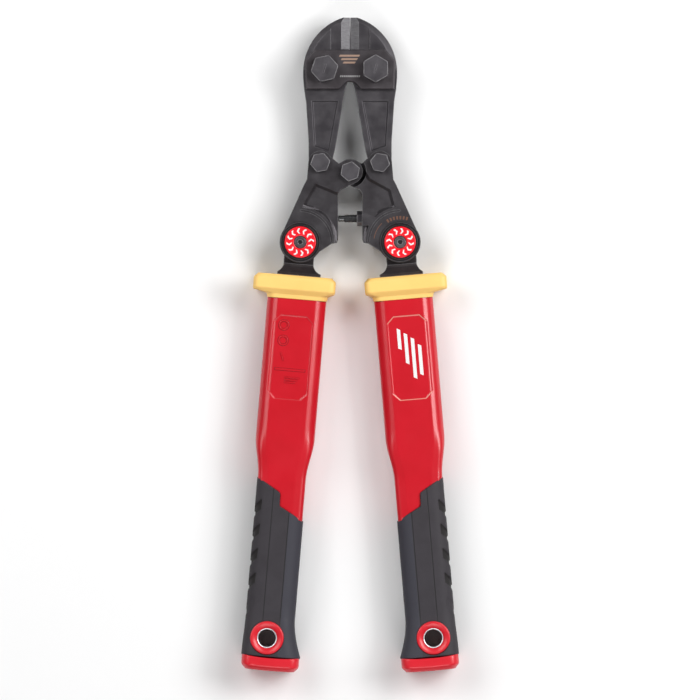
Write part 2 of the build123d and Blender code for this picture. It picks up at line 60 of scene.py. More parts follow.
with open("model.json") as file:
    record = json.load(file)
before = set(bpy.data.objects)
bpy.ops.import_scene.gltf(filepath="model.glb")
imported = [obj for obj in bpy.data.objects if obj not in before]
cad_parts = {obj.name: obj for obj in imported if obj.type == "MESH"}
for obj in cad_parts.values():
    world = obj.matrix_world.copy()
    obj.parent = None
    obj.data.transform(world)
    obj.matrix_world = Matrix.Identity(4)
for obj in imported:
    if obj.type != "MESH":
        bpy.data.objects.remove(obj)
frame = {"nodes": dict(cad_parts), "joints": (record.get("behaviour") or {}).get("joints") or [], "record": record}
cad_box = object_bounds()
MM = 0.001

joints = {joint["name"]: joint for joint in frame["joints"]}
mounts = {mount["name"]: mount for mount in frame["record"]["mounts"]}
SIDES = ("left", "right")
REST_HALF = 17.5          # half the thickness of the guards and handle ends

# ---- the left handle's frame, from its joint and its hanging hole ----
hinge = np.array(joints["left_handle_turn"]["pos_m"])
hang = np.array(mounts["left_hang_hole"]["pos_m"])
mid_z = REST_HALF * MM
down = hang - hinge
down[2] = 0
HANG_S = float(np.linalg.norm(down)) / MM
down /= np.linalg.norm(down)
across = np.array((-down[1], down[0], 0.0))


def on_handle(points, side):
    """Handle coordinates in millimetres to metres in the row frame."""
    p = np.asarray(points, float).reshape(-1, 3) * MM
    world = np.array((hinge[0], hinge[1], mid_z))
    world = world + np.outer(p[:, 0], across) + np.outer(p[:, 1], down)
    world[:, 2] += p[:, 2]
    if side == "right":
        world[:, 0] *= -1
    return world


def at_pivot(points, side):
    """Millimetres about the handle's pivot, not turned, to metres in the row frame."""
    world = np.asarray(points, float).reshape(-1, 3) * MM
    world = world + np.array((hinge[0], hinge[1], mid_z))
    if side == "right":
        world[:, 0] *= -1
    return world


def on_head(points):
    """Millimetres from the midpoint between the jaw bolts to metres in the row frame."""
    lo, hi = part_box("jaw_bolts")
    world = np.asarray(points, float).reshape(-1, 3) * MM
    return world + np.array((0, (lo.y + hi.y) / 2, mid_z))


# ---- mesh helpers ----
def make_piece(name, verts, faces, mat, body, sharp=35):
    """A mesh piece in the row frame that rides on a body."""
    mesh = bpy.data.meshes.new(name)
    mesh.from_pydata([tuple(v) for v in verts], [], faces)
    edit = bmesh.new()
    edit.from_mesh(mesh)
    bmesh.ops.recalc_face_normals(edit, faces=edit.faces)
    edit.to_mesh(mesh)
    edit.free()
    mesh.shade_smooth()
    mesh.set_sharp_from_angle(angle=math.radians(sharp))
    piece = bpy.data.objects.new(name, mesh)
    bpy.context.scene.collection.objects.link(piece)
    mesh.materials.append(mat)
    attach(piece, body)
    return piece


def skin(rings):
    """Vertices and faces of a closed skin through rings with equal counts."""
    count = len(rings[0])
    faces = []
    for row in range(len(rings) - 1):
        start = row * count
        for k in range(count):
            after = (k + 1) % count
            faces.append((start + k, start + after, start + count + after, start + count + k))
    faces.append(tuple(range(count)))
    last = (len(rings) - 1) * count
    faces.append(tuple(range(last, last + count)))
    return np.concatenate(rings), faces


def lathe(profile, centre=(0, 0), segments=96):
    """Closed ring of (radius, height) points turned about a vertical axis."""
    count = len(profile)
    verts = []
    faces = []
    for turn in range(segments):
        angle = 2 * math.pi * turn / segments
        for radius, height in profile:
            x = centre[0] + radius * math.cos(angle)
            y = centre[1] + radius * math.sin(angle)
            verts.append((x, y, height))
        start, after = turn * count, (turn + 1) % segments * count
        for k in range(count):
            nxt = (k + 1) % count
            faces.append((start + k, start + nxt, after + nxt, after + k))
    return np.array(verts), faces


def joined(parts):
    """Several (vertices, faces) pairs as one."""
    verts, faces, base = [], [], 0
    for points, polygons in parts:
        verts.append(points)
        faces += [tuple(k + base for k in face) for face in polygons]
        base += len(points)
    return np.concatenate(verts), faces


def prisms(outlines, low, high):
    """Upright prisms on several outlines, as one mesh."""
    verts = []
    faces = []
    for points in outlines:
        base, count = len(verts), len(points)
        verts += [(x, y, low) for x, y in points] + [(x, y, high) for x, y in points]
        faces.append(tuple(range(base + count - 1, base - 1, -1)))
        faces.append(tuple(range(base + count, base + 2 * count)))
        for k in range(count):
            after = (k + 1) % count
            faces.append((base + k, base + after, base + count + after, base + count + k))
    return np.array(verts), faces


def soften(piece, width, segments=3, angle=30):
    """Rounds a piece's sharp edges."""
    bevel = piece.modifiers.new("edges", "BEVEL")
    bevel.width = width * MM
    bevel.segments = segments
    bevel.limit_method = "ANGLE"
    bevel.angle_limit = math.radians(angle)
    bevel.use_clamp_overlap = True
    normals = piece.modifiers.new("normals", "WEIGHTED_NORMAL")
    normals.keep_sharp = False
    return piece


def soften_cad(name, width):
    """Joins a CAD node's split faces and rounds its edges, without touching its mesh."""
    node = frame["nodes"][name]
    weld = node.modifiers.new("weld", "WELD")
    weld.merge_threshold = 5e-6
    planar = node.modifiers.new("planar", "DECIMATE")
    planar.decimate_type = "DISSOLVE"
    planar.angle_limit = math.radians(0.4)
    soften(node, width, 2, 24)
    return node


def smoothstep(x, low, high):
    t = np.clip((np.asarray(x, float) - low) / (high - low), 0, 1)
    return t * t * (3 - 2 * t)


def bend(x, soft):
    """Zero below nought and x above it, with a rounded corner between."""
    return (x + np.sqrt(x * x + soft * soft)) / 2


# ---- cross-sections of the handle ----
def ring(width, thick, radius, flat=40, corner=10, wall=12):
    """Rounded rectangle (x, z) about the origin, evenly pointed on each stretch."""
    half, high = width / 2 - radius, thick / 2 - radius
    points = []
    for side, (cx, cz) in enumerate(((half, high), (half, -high), (-half, -high), (-half, high))):
        start = math.pi / 2 * (1 - side)
        turn = start - math.pi / 2 * np.arange(corner) / corner
        points.append(np.stack([cx + radius * np.cos(turn), cz + radius * np.sin(turn)], 1))
        nxt = ((half, -high), (-half, -high), (-half, high), (half, high))[side]
        end = start - math.pi / 2
        offset = radius * np.array((math.cos(end), math.sin(end)))
        count = wall if side % 2 == 0 else flat
        t = (np.arange(count) / count)[:, None]
        points.append(np.array((cx, cz)) * (1 - t) + np.array(nxt) * t + offset)
    return np.concatenate(points)


def squeeze(z, half_thick, drop):
    """Brings a section's faces towards the mid-plane by drop."""
    return z * (1 - drop / half_thick)


# ---- handle tube ----
TUBE_SHIFT = 1.0          # u of the tube's middle
TUBE_TOP_S = 37.2
TUBE_END_S = 200          # inside the grip
TUBE_WIDTH = 41.2
TUBE_HALF = 13.0          # half the tube's thickness
WAIST_S = (137, 165)      # where the tube narrows towards the grip
WAIST_LOSS = 7.6          # how much narrower it gets
LABEL_HALF = 13.8         # half the label panel's width
LABEL_S = (51.6, 110.4)   # its two ends
LABEL_CORNER = 4.8        # its corners are cut this far in
LABEL_DEPTH = 0.6
LABEL_ROW = 0.45          # step between rings across the label


def label_depth(u, s):
    """How deep the octagonal label panel lies at a place on the tube's face."""
    middle, half = sum(LABEL_S) / 2, (LABEL_S[1] - LABEL_S[0]) / 2
    du, ds = np.abs(u), np.abs(s - middle)
    corner = (du + ds - (LABEL_HALF + half - LABEL_CORNER)) / math.sqrt(2)
    edge = np.maximum(np.maximum(du - LABEL_HALF, ds - half), corner)
    return LABEL_DEPTH * (1 - smoothstep(edge, -0.5, 0.1))


def tube_section(s):
    """One loop of the tube: bevelled faces with the label panel sunk in them."""
    waist = smoothstep(s, *WAIST_S)
    width = TUBE_WIDTH - WAIST_LOSS * waist
    points = ring(width, 2 * TUBE_HALF, 5.5 - 2.0 * float(smoothstep(s, 132, 160)), flat=70)
    u, z = points[:, 0], points[:, 1]
    slope = 0.42 - 0.27 * smoothstep(s, 128, 150)
    facet = slope * bend(np.abs(u) - (width / 2 - 7.4), 0.3)
    z = squeeze(z, TUBE_HALF, facet + 0.5 * waist)
    u = u + TUBE_SHIFT
    on_face = smoothstep(np.abs(z), 10.5, 12.2)
    z = z - np.sign(z) * on_face * label_depth(u, s)
    # the tube draws in where the grip covers it
    under = 2.2 * smoothstep(s - edge_curve(u, 0), 0.8, 2.2)
    u = u - np.sign(u) * under * smoothstep(np.abs(u), 4, 12)
    z = squeeze(z, TUBE_HALF, under)
    return np.stack([u, np.full_like(u, s), z], 1)


def handle_tube(side, mat):
    """The red tube, with closer rings across the label."""
    fine = np.arange(LABEL_S[0] - 1.5, LABEL_S[1] + 1.5, LABEL_ROW)
    rows = np.concatenate([
        np.arange(TUBE_TOP_S, fine[0], 2.0), fine, np.arange(fine[-1] + 1, TUBE_END_S, 1.5),
    ])
    verts, faces = skin([tube_section(s) for s in rows])
    piece = make_piece(
        f"{side}_tube_shell", on_handle(verts, side), faces, mat, f"{side}_handle",
    )
    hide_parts(f"{side}_handle_tube")
    return piece


# ---- guard ----
GUARD_RINGS = (           # s, width, thickness, corner radius, shift
    (23.5, 51.4, 31.4, 3.4, -1.5), (23.6, 52.0, 32.2, 3.6, -1.5), (23.9, 52.6, 33.0, 3.8, -1.5),
    (25.9, 56.8, 34.6, 4.0, -1.5), (26.3, 57.3, 34.85, 4.0, -1.5), (26.9, 57.6, 35.0, 4.0, -1.5),
    (32.9, 57.6, 35.0, 4.0, -1.5), (33.3, 57.6, 34.9, 4.0, -1.5), (33.7, 57.5, 34.4, 4.0, -1.5),
    (34.7, 57.1, 32.7, 4.2, -1.5), (35.1, 56.3, 32.0, 4.4, -1.4), (36.1, 49.4, 30.4, 5.0, -0.1),
    (36.7, 45.0, 29.3, 5.6, 0.7), (37.1, 43.4, 28.6, 6.0, 0.9), (37.7, 42.7, 28.1, 6.0, 1.0),
    (39.3, 42.2, 27.5, 5.9, 1.0), (39.8, 41.9, 27.2, 5.8, 1.0), (40.0, 41.4, 26.7, 5.6, 1.0),
)


def guard(side, mat):
    """The yellow guard: a thick plate that steps down to a collar round the tube."""
    rings = []
    for s, width, thick, radius, shift in GUARD_RINGS:
        points = ring(width, thick, radius, flat=24, corner=12, wall=12)
        rings.append(np.stack([points[:, 0] + shift, np.full(len(points), s), points[:, 1]], 1))
    verts, faces = skin(rings)
    piece = make_piece(
        f"{side}_hand_guard", on_handle(verts, side), faces, mat, f"{side}_handle",
        sharp=60,
    )
    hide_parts(f"{side}_guard")
    return piece


# ---- grip ----
GRIP_EDGE = (             # u, s of the stepped top edge
    (-30, 166.0), (-15.7, 166.0), (0.3, 175.5), (0.8, 176.6), (1.0, 185.0), (18.3, 194.3),
    (30, 194.3),
)
GRIP_END_S = 290.6        # where the end cap starts
GRIP_HALF = 14.0          # half the grip's thickness, before it flares
GRIP_CREASES = (-4.0, 8.0)    # u of the two creases along each face
GRIP_HOLE_R = 11.9        # round the hanging hole's rings
GRIP_LIPS = (             # gap from the top edge and how far the face lies lowered there
    (0.0, 2.0), (0.0, 0.5), (0.12, 0.22), (0.3, 0.06), (0.6, 0.0),
)
RECESS_S = 181.0          # top of the first recess
RECESS_PITCH = 17.15
RECESS_LENGTH = 7.5
RECESS_END = 11.9         # distance round the section from its middle to a recess's inner end
RECESS_SLOPE = 0.62       # how much further down a recess lies for each millimetre outwards
RECESS_COUNT = 5
RECESS_DEPTH = 0.85
LAST_RECESS_DEPTH = 0.35


def edge_curve(u, gap):
    """The grip's stepped top edge, moved down by gap, at each u."""
    edge = np.array(GRIP_EDGE, float)
    fine = np.linspace(-30, 30, 2400)
    level = np.interp(fine, edge[:, 0], edge[:, 1])
    if gap == 0:
        return np.interp(u, fine, level)
    near = np.abs(fine[None, :] - np.asarray(u)[:, None])
    lift = np.sqrt(np.clip(gap * gap - near * near, 0, None))
    return np.where(near <= gap, level[None, :] + lift, -1e9).max(1)


def grip_width(s):
    """Outer and inner edges of the grip at s."""
    outer = -16.2 - 0.8 * smoothstep(s, 262, 289)
    flare = np.clip((s - 264) / 26, 0, 1) ** 1.7
    return outer, 18.4 + 5.9 * flare


def grip_section(v, lip):
    """One loop of the grip at share v of the way down, its faces lowered by lip."""
    gap, lowered = lip
    base = ring(2.0, 2.0, 0.52, flat=56, corner=14, wall=22)
    outer, inner = grip_width(np.full(len(base), 200.0))
    u = (inner + outer) / 2 + base[:, 0] * (inner - outer) / 2
    s = edge_curve(u, gap) * (1 - v) + GRIP_END_S * v
    outer, inner = grip_width(s)
    half = (inner - outer) / 2
    u = (inner + outer) / 2 + base[:, 0] * half
    high = GRIP_HALF + 3.4 * np.clip((s - 262) / 28, 0, 1) ** 1.3
    z = base[:, 1] * high
    fade = 1 - smoothstep(s, 255, 280)
    outer_crease, inner_crease = GRIP_CREASES
    outward = bend(outer_crease - u, 0.5) * 0.13 * fade
    inward = bend(u - inner_crease - 4.5 * smoothstep(s, 255, 275), 0.4) * 0.17
    inward = inward * (0.35 + 0.65 * fade)
    groove = 0.22 * fade * sum(np.exp(-((u - crease) / 0.28) ** 2) for crease in GRIP_CREASES)
    z = squeeze(z, high, outward + inward + groove)
    # slanting recesses on the outer side, meeting at the middle of the wall
    around = np.abs(u) + bend(high - np.abs(z) - 2.0, 1.0) * 0.9
    level = s - RECESS_S - RECESS_SLOPE * (around - RECESS_END)
    index = np.clip(np.round((level - RECESS_LENGTH / 2) / RECESS_PITCH), 0, RECESS_COUNT - 1)
    level = level - index * RECESS_PITCH - RECESS_LENGTH / 2
    depth = np.where(index == RECESS_COUNT - 1, LAST_RECESS_DEPTH, RECESS_DEPTH)
    inside = np.maximum(np.abs(level) - RECESS_LENGTH / 2, RECESS_END - around)
    cut = depth * (1 - smoothstep(inside, -0.7, 0.1)) * (u < 0)
    centre_u = np.clip(u, outer + 8, inner - 8)
    direction = np.stack([u - centre_u, z * 0.8], 1)
    length = np.linalg.norm(direction, axis=1) + 1e-9
    move = (cut + lowered)[:, None] * direction / length[:, None]
    return np.stack([u - move[:, 0], s, z - move[:, 1]], 1)


def grip(side, mat):
    """The overmoulded grip, drilled through for the hanging hole's rings."""
    rings = [grip_section(0.0, lip) for lip in GRIP_LIPS]
    gap = GRIP_LIPS[-1][0]
    rings += [grip_section(v, (gap, 0.0)) for v in np.linspace(0.008, 0.992, 190)]
    rings += [grip_section(0.997, (gap, 0.15)), grip_section(1.0, (gap, 0.7))]
    verts, faces = skin(rings)
    piece = make_piece(
        f"{side}_rubber_grip", on_handle(verts, side), faces, mat, f"{side}_handle",
    )
    core, past = 0.0001, 30
    profile = [(core, -past), (GRIP_HOLE_R, -past), (GRIP_HOLE_R, past), (core, past)]
    verts, faces = lathe(profile, (0, HANG_S))
    cutter = make_piece(
        "cutter", on_handle(verts, side), faces, mat, f"{side}_handle",
    )
    drill(piece, cutter)
    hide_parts(f"{side}_grip")
    return piece


def drill(piece, cutter):
    """Cuts the cutter out of the piece for good."""
    cut = piece.modifiers.new("hole", "BOOLEAN")
    cut.operation = "DIFFERENCE"
    cut.solver = "EXACT"
    cut.object = cutter
    ready = piece.evaluated_get(bpy.context.evaluated_depsgraph_get())
    mesh = bpy.data.meshes.new_from_object(ready)
    piece.modifiers.clear()
    piece.data = mesh
    bpy.data.objects.remove(cutter)
    mesh.shade_smooth()
    mesh.set_sharp_from_angle(angle=math.radians(35))


# ---- end cap ----
CAP_WIDTH = 40.2
CAP_SHIFT = 3.6           # u of the cap's middle
CAP_RINGS = (             # share of the way down, inset
    (0.0, 1.2), (0.02, 0.3), (0.05, 0.06), (0.1, 0.0), (0.60, 0.0), (0.66, 0.06), (0.72, 0.4),
    (0.95, 2.5), (0.985, 3.0), (1.0, 3.8),
)


def end_cap(side, mat):
    """The red cap, crowned where it meets the grip and bevelled at its end."""
    rings = []
    for share, inset in CAP_RINGS:
        points = ring(
            CAP_WIDTH - 2 * inset, 2 * REST_HALF - 2 * inset, 7.0 - inset * 0.6, corner=14, wall=24,
        )
        u = points[:, 0] + CAP_SHIFT
        top = 290.0 + 1.5 * (1 - ((u - 4) / 20) ** 2)
        low = 300.55 - 0.5 * ((u - CAP_SHIFT) / 20.0) ** 2
        s = top + (low - top) * share
        rings.append(np.stack([u, s, points[:, 1]], 1))
    verts, faces = skin(rings)
    piece = make_piece(
        f"{side}_butt_cap", on_handle(verts, side), faces, mat, f"{side}_handle",
        sharp=50,
    )
    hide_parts(f"{side}_end_cap")
    return piece


# ---- hanging hole ----
def hang_hole(side, ring_mat, liner_mat):
    """Funnel rings in both faces and the bright liner between them."""
    funnel = [
        (6.85, 13.5), (6.9, 14.2), (7.3, 14.9), (10.2, 15.9), (10.9, 16.0), (11.5, 15.8),
        (11.8, 15.3), (11.85, 13.0), (6.85, 11.0),
    ]
    verts, faces = joined(
        [lathe([(r, sign * z) for r, z in funnel], (0, HANG_S)) for sign in (1, -1)]
    )
    rings = make_piece(
        f"{side}_hang_funnels", on_handle(verts, side), faces, ring_mat, f"{side}_handle",
        sharp=60,
    )
    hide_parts(f"{side}_hang_grommets")
    profile = [
        (6.25, -14.2), (6.25, 14.2), (6.4, 14.32), (6.8, 14.5), (6.9, 14.45), (6.9, -14.45),
        (6.8, -14.5), (6.4, -14.32),
    ]
    verts, faces = lathe(profile, (0, HANG_S))
    liner = make_piece(
        f"{side}_hang_liner", on_handle(verts, side), faces, liner_mat, f"{side}_handle",
        sharp=60,
    )
    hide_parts(f"{side}_hang_sleeve")


# ---- push button ----
BUTTON_MARKS = 12


def push_button(side, red, white, black):
    """The red button, its ring of chevrons and the black collar round it."""
    profile = [
        (4.5, 10.2), (4.5, 12.45), (5.0, 12.72), (5.6, 12.6), (9.8, 12.55), (10.3, 12.72),
        (10.75, 12.6), (11.0, 12.2), (11.0, 10.2),
    ]
    verts, faces = lathe(profile)
    button = make_piece(
        f"{side}_button_cap", at_pivot(verts, side), faces, red, f"{side}_button",
        sharp=50,
    )
    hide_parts(f"{side}_push_button")
    step = 2 * math.pi / BUTTON_MARKS
    marks = [chevron(7.8, 1.9, k * step, math.radians(16)) for k in range(BUTTON_MARKS)]
    verts, faces = prisms(marks, 12.4, 12.66)
    make_piece(
        f"{side}_button_arrows", at_pivot(verts, side), faces, white, f"{side}_button",
    )
    profile = [(11.2, 10.0), (11.2, 11.2), (11.4, 11.5), (12.3, 11.5), (12.7, 11.1), (12.7, 10.0)]
    verts, faces = lathe(profile)
    collar = make_piece(
        f"{side}_button_collar", at_pivot(verts, side), faces, black, f"{side}_arm",
        sharp=50,
    )
    soften(collar, 0.15, 2)
    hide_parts(f"{side}_bezel")


def chevron(radius, half, angle, spread):
    """Arrowhead on a ring, pointing round it."""
    def spot(r, a):
        return r * math.cos(a), r * math.sin(a)
    lead = spread * 0.55
    return [
        spot(radius - half, angle), spot(radius, angle + lead), spot(radius + half, angle),
        spot(radius + half, angle + lead), spot(radius, angle + 2 * lead),
        spot(radius - half, angle + lead),
    ]


# ---- button spring ----
SPRING_MEAN_R = 6.4
SPRING_WIRE_R = 0.53
SPRING_TURNS = 3


def button_spring(side, mat):
    """Coil under the lock ring."""
    lo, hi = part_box(f"{side}_button_spring")
    low, high = (lo.z - mid_z) / MM + SPRING_WIRE_R, (hi.z - mid_z) / MM - SPRING_WIRE_R
    around = 2 * math.pi * np.arange(14) / 14
    radius = SPRING_MEAN_R + SPRING_WIRE_R * np.cos(around)
    rings = []
    for share in np.linspace(0, 1, 40 * SPRING_TURNS + 1):
        turn = 2 * math.pi * SPRING_TURNS * share
        z = low + (high - low) * share + SPRING_WIRE_R * np.sin(around)
        rings.append(np.stack([radius * math.cos(turn), radius * math.sin(turn), z], 1))
    verts, faces = skin(rings)
    coil = make_piece(
        f"{side}_spring_coil", at_pivot(verts, side), faces, mat, f"{side}_arm", sharp=60,
    )
    x, y, _ = at_pivot([(0, 0, 0)], side)[0]
    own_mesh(coil)
    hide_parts(f"{side}_button_spring")


# ---- stop screw ----
def stop_screw(mat):
    """Rod with a plain point and a real helical thread."""
    lo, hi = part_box("stop_screw")
    length, start = (hi.x - lo.x) / MM, lo.x / MM
    y, z = (lo.y + hi.y) / 2 / MM, (lo.z + hi.z) / 2 / MM
    outer, core, pitch = 2.85, 2.3, 1.0
    point, point_end = 2.2, 4.0
    around = 2 * math.pi * np.arange(36) / 36
    rings = []
    for x in np.arange(0, length, pitch / 8):
        phase = (x / pitch - around / (2 * math.pi)) % 1.0
        thread = core + (outer - core) * (1 - np.abs(2 * phase - 1)) ** 0.8
        share = smoothstep(x, point_end, point_end + 0.7)
        radius = point * (1 - share) + thread * share
        radius = radius - 0.5 * (1 - smoothstep(x, 0, 0.5))
        rings.append(np.stack([
            np.full_like(around, start + x), y + radius * np.cos(around), z + radius * np.sin(around),
        ], 1))
    verts, faces = skin(rings)
    piece = make_piece(
        "stop_screw_threaded", verts * MM, faces, mat, "right_arm", sharp=50,
    )
    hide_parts("stop_screw")


# ---- materials ----
class Paint:
    """A material's node tree, with short names for the nodes used here."""

    def __init__(self, name="", mat=None):
        self.mat = mat or bpy.data.materials.new(name)
        self.mat.use_nodes = True
        self.tree = self.mat.node_tree
        self.shader = self.tree.nodes["Principled BSDF"]
        self.coords = self.tree.nodes.new("ShaderNodeTexCoord").outputs["Object"]

    def link(self, source, target):
        self.tree.links.new(source, target)

    def noise(self, scale, detail=3.0, rough=0.5, stretch=None):
        node = self.tree.nodes.new("ShaderNodeTexNoise")
        node.inputs["Scale"].default_value = scale
        node.inputs["Detail"].default_value = detail
        node.inputs["Roughness"].default_value = rough
        place = self.coords
        if stretch:
            mapping = self.tree.nodes.new("ShaderNodeMapping")
            mapping.inputs["Scale"].default_value = stretch
            self.link(self.coords, mapping.inputs["Vector"])
            place = mapping.outputs["Vector"]
        self.link(place, node.inputs["Vector"])
        return node.outputs["Fac"]

    def pits(self, scale):
        node = self.tree.nodes.new("ShaderNodeTexVoronoi")
        node.inputs["Scale"].default_value = scale
        self.link(self.coords, node.inputs["Vector"])
        return node.outputs["Distance"]

    def math(self, operation, first, second=None):
        node = self.tree.nodes.new("ShaderNodeMath")
        node.operation = operation
        for socket, value in zip(node.inputs, (first, second)):
            if isinstance(value, (int, float)):
                socket.default_value = value
            elif value is not None:
                self.link(value, socket)
        return node.outputs[0]

    def ramp(self, value, low, high, out_low=0.0, out_high=1.0):
        node = self.tree.nodes.new("ShaderNodeMapRange")
        self.link(value, node.inputs["Value"])
        for key, number in (
            ("From Min", low), ("From Max", high), ("To Min", out_low), ("To Max", out_high),
        ):
            node.inputs[key].default_value = number
        return node.outputs["Result"]

    def mix(self, share, first, second):
        node = self.tree.nodes.new("ShaderNodeMix")
        node.data_type = "RGBA"
        self.link(share, node.inputs["Factor"])
        for socket, value in ((node.inputs[6], first), (node.inputs[7], second)):
            if isinstance(value, tuple):
                socket.default_value = (*value, 1)
            else:
                self.link(value, socket)
        return node.outputs[2]

    def occlusion(self, distance, inside=False):
        """One in the open, falling in creases, or with inside=True on outer edges."""
        node = self.tree.nodes.new("ShaderNodeAmbientOcclusion")
        node.inputs["Distance"].default_value = distance
        node.samples = 8
        node.inside = inside
        node.only_local = inside
        return node.outputs["AO"]

    def on_handle(self, side):
        """The handle's own u, s and z in metres, as sockets."""
        mapping = self.tree.nodes.new("ShaderNodeMapping")
        mapping.vector_type = "TEXTURE"
        sign = 1 if side == "left" else -1
        mapping.inputs["Location"].default_value = (sign * hinge[0], hinge[1], mid_z)
        mapping.inputs["Rotation"].default_value[2] = sign * math.atan2(across[1], across[0])
        self.link(self.coords, mapping.inputs["Vector"])
        x, y, z = self.split(mapping.outputs["Vector"])
        return self.math("MULTIPLY", x, sign), self.math("MULTIPLY", y, -1.0), z

    def normal(self):
        """The x, y and z of the surface's normal, as sockets."""
        return self.split(self.tree.nodes.new("ShaderNodeNewGeometry").outputs["Normal"])

    def base(self):
        """The colour that already feeds the shader."""
        return self.shader.inputs["Base Color"].links[0].from_socket

    def split(self, vector):
        node = self.tree.nodes.new("ShaderNodeSeparateXYZ")
        self.link(vector, node.inputs[0])
        return node.outputs

    def bump(self, heights):
        """Stacks (height, distance in metres, strength) bumps on the shader's normal."""
        normal = None
        for height, distance, strength in heights:
            node = self.tree.nodes.new("ShaderNodeBump")
            node.inputs["Distance"].default_value = distance
            node.inputs["Strength"].default_value = strength
            self.link(height, node.inputs["Height"])
            if normal:
                self.link(normal, node.inputs["Normal"])
            normal = node.outputs["Normal"]
        self.link(normal, self.shader.inputs["Normal"])

    def set(self, **values):
        for key, value in values.items():
            socket = self.shader.inputs[key.replace("_", " ").title().replace("Ior", "IOR")]
            if isinstance(value, tuple):
                socket.default_value = (*value, 1)
            elif isinstance(value, (int, float)):
                socket.default_value = value
            else:
                self.link(value, socket)
        return self


def oxide_steel(name, dark, light, rough=0.42, edge_wear_and_highlight=(0.21, 0.205, 0.215), reach=0.0008):
    """Blackened steel: mottled, finely grained, and lightened on its outer edges by edge wear and a painted
    highlight.
    """
    paint = Paint(name)
    cloud = paint.noise(90, 5, 0.6)
    speck = paint.noise(2600, 3, 0.6)
    colour = paint.mix(paint.ramp(cloud, 0.35, 0.7), dark, light)
    # outer edges lightened: partly edge wear, partly a painted highlight
    wear_and_highlight = paint.ramp(paint.occlusion(reach, inside=True), 0.62, 0.9, 1.0, 0.0)
    wear_and_highlight = paint.math("MULTIPLY", wear_and_highlight, paint.ramp(paint.noise(420, 4), 0.25, 0.6, 0.35, 1.0))
    paint.set(base_color=paint.mix(wear_and_highlight, colour, edge_wear_and_highlight), metallic=0.6, specular_ior_level=0.4)
    paint.set(roughness=paint.ramp(cloud, 0.3, 0.75, rough - 0.06, rough + 0.08))
    paint.bump([(cloud, 0.0002, 0.25), (speck, 0.00003, 0.5)])
    return paint.mat


def jaw_steel(blade_low_y):
    """Oxide steel with bare ground bevels along the cutting edges."""
    mat = oxide_steel("jaw_oxide", (0.060, 0.055, 0.062), (0.087, 0.081, 0.088))
    paint = Paint(mat=mat)
    normal = paint.normal()
    place = paint.split(paint.coords)
    tilted = paint.ramp(paint.math("ABSOLUTE", normal[0]), 0.3, 0.4)
    near = paint.ramp(paint.math("ABSOLUTE", place[0]), 0.0061, 0.0066, 1.0, 0.0)
    ahead = paint.ramp(place[1], blade_low_y, blade_low_y + 0.0005)
    ground = paint.math("MULTIPLY", paint.math("MULTIPLY", tilted, near), ahead)
    colour = paint.base()
    streak = paint.noise(500, 4, 0.6, stretch=(0.15, 4, 1))
    bare = paint.mix(paint.ramp(streak, 0.3, 0.7), (0.13, 0.126, 0.134), (0.22, 0.214, 0.223))
    paint.set(base_color=paint.mix(ground, colour, bare))
    return mat


def moulded(name, colour, shade, rough, peel=0.00002, coat=0.0, scale=1500):
    """Moulded plastic: slight cloud in the colour, painted shade in its creases, orange-peel bump."""
    paint = Paint(name)
    cloud = paint.noise(45, 3, 0.5)
    body = paint.mix(paint.ramp(cloud, 0.35, 0.7), colour, shade)
    # painted shade: the colour darkens in creases and where parts meet
    crease_shade = tuple(c * 0.45 for c in colour)
    paint.set(base_color=paint.mix(paint.ramp(paint.occlusion(0.0009), 0.35, 0.9), crease_shade, body))
    sheen = paint.noise(70, 3, 0.5)
    paint.set(roughness=paint.ramp(sheen, 0.3, 0.7, rough - 0.02, rough + 0.02))
    paint.set(coat_weight=coat, coat_roughness=0.12)
    paint.bump([(paint.noise(scale, 2, 0.5), peel, 0.35)])
    return paint.mat


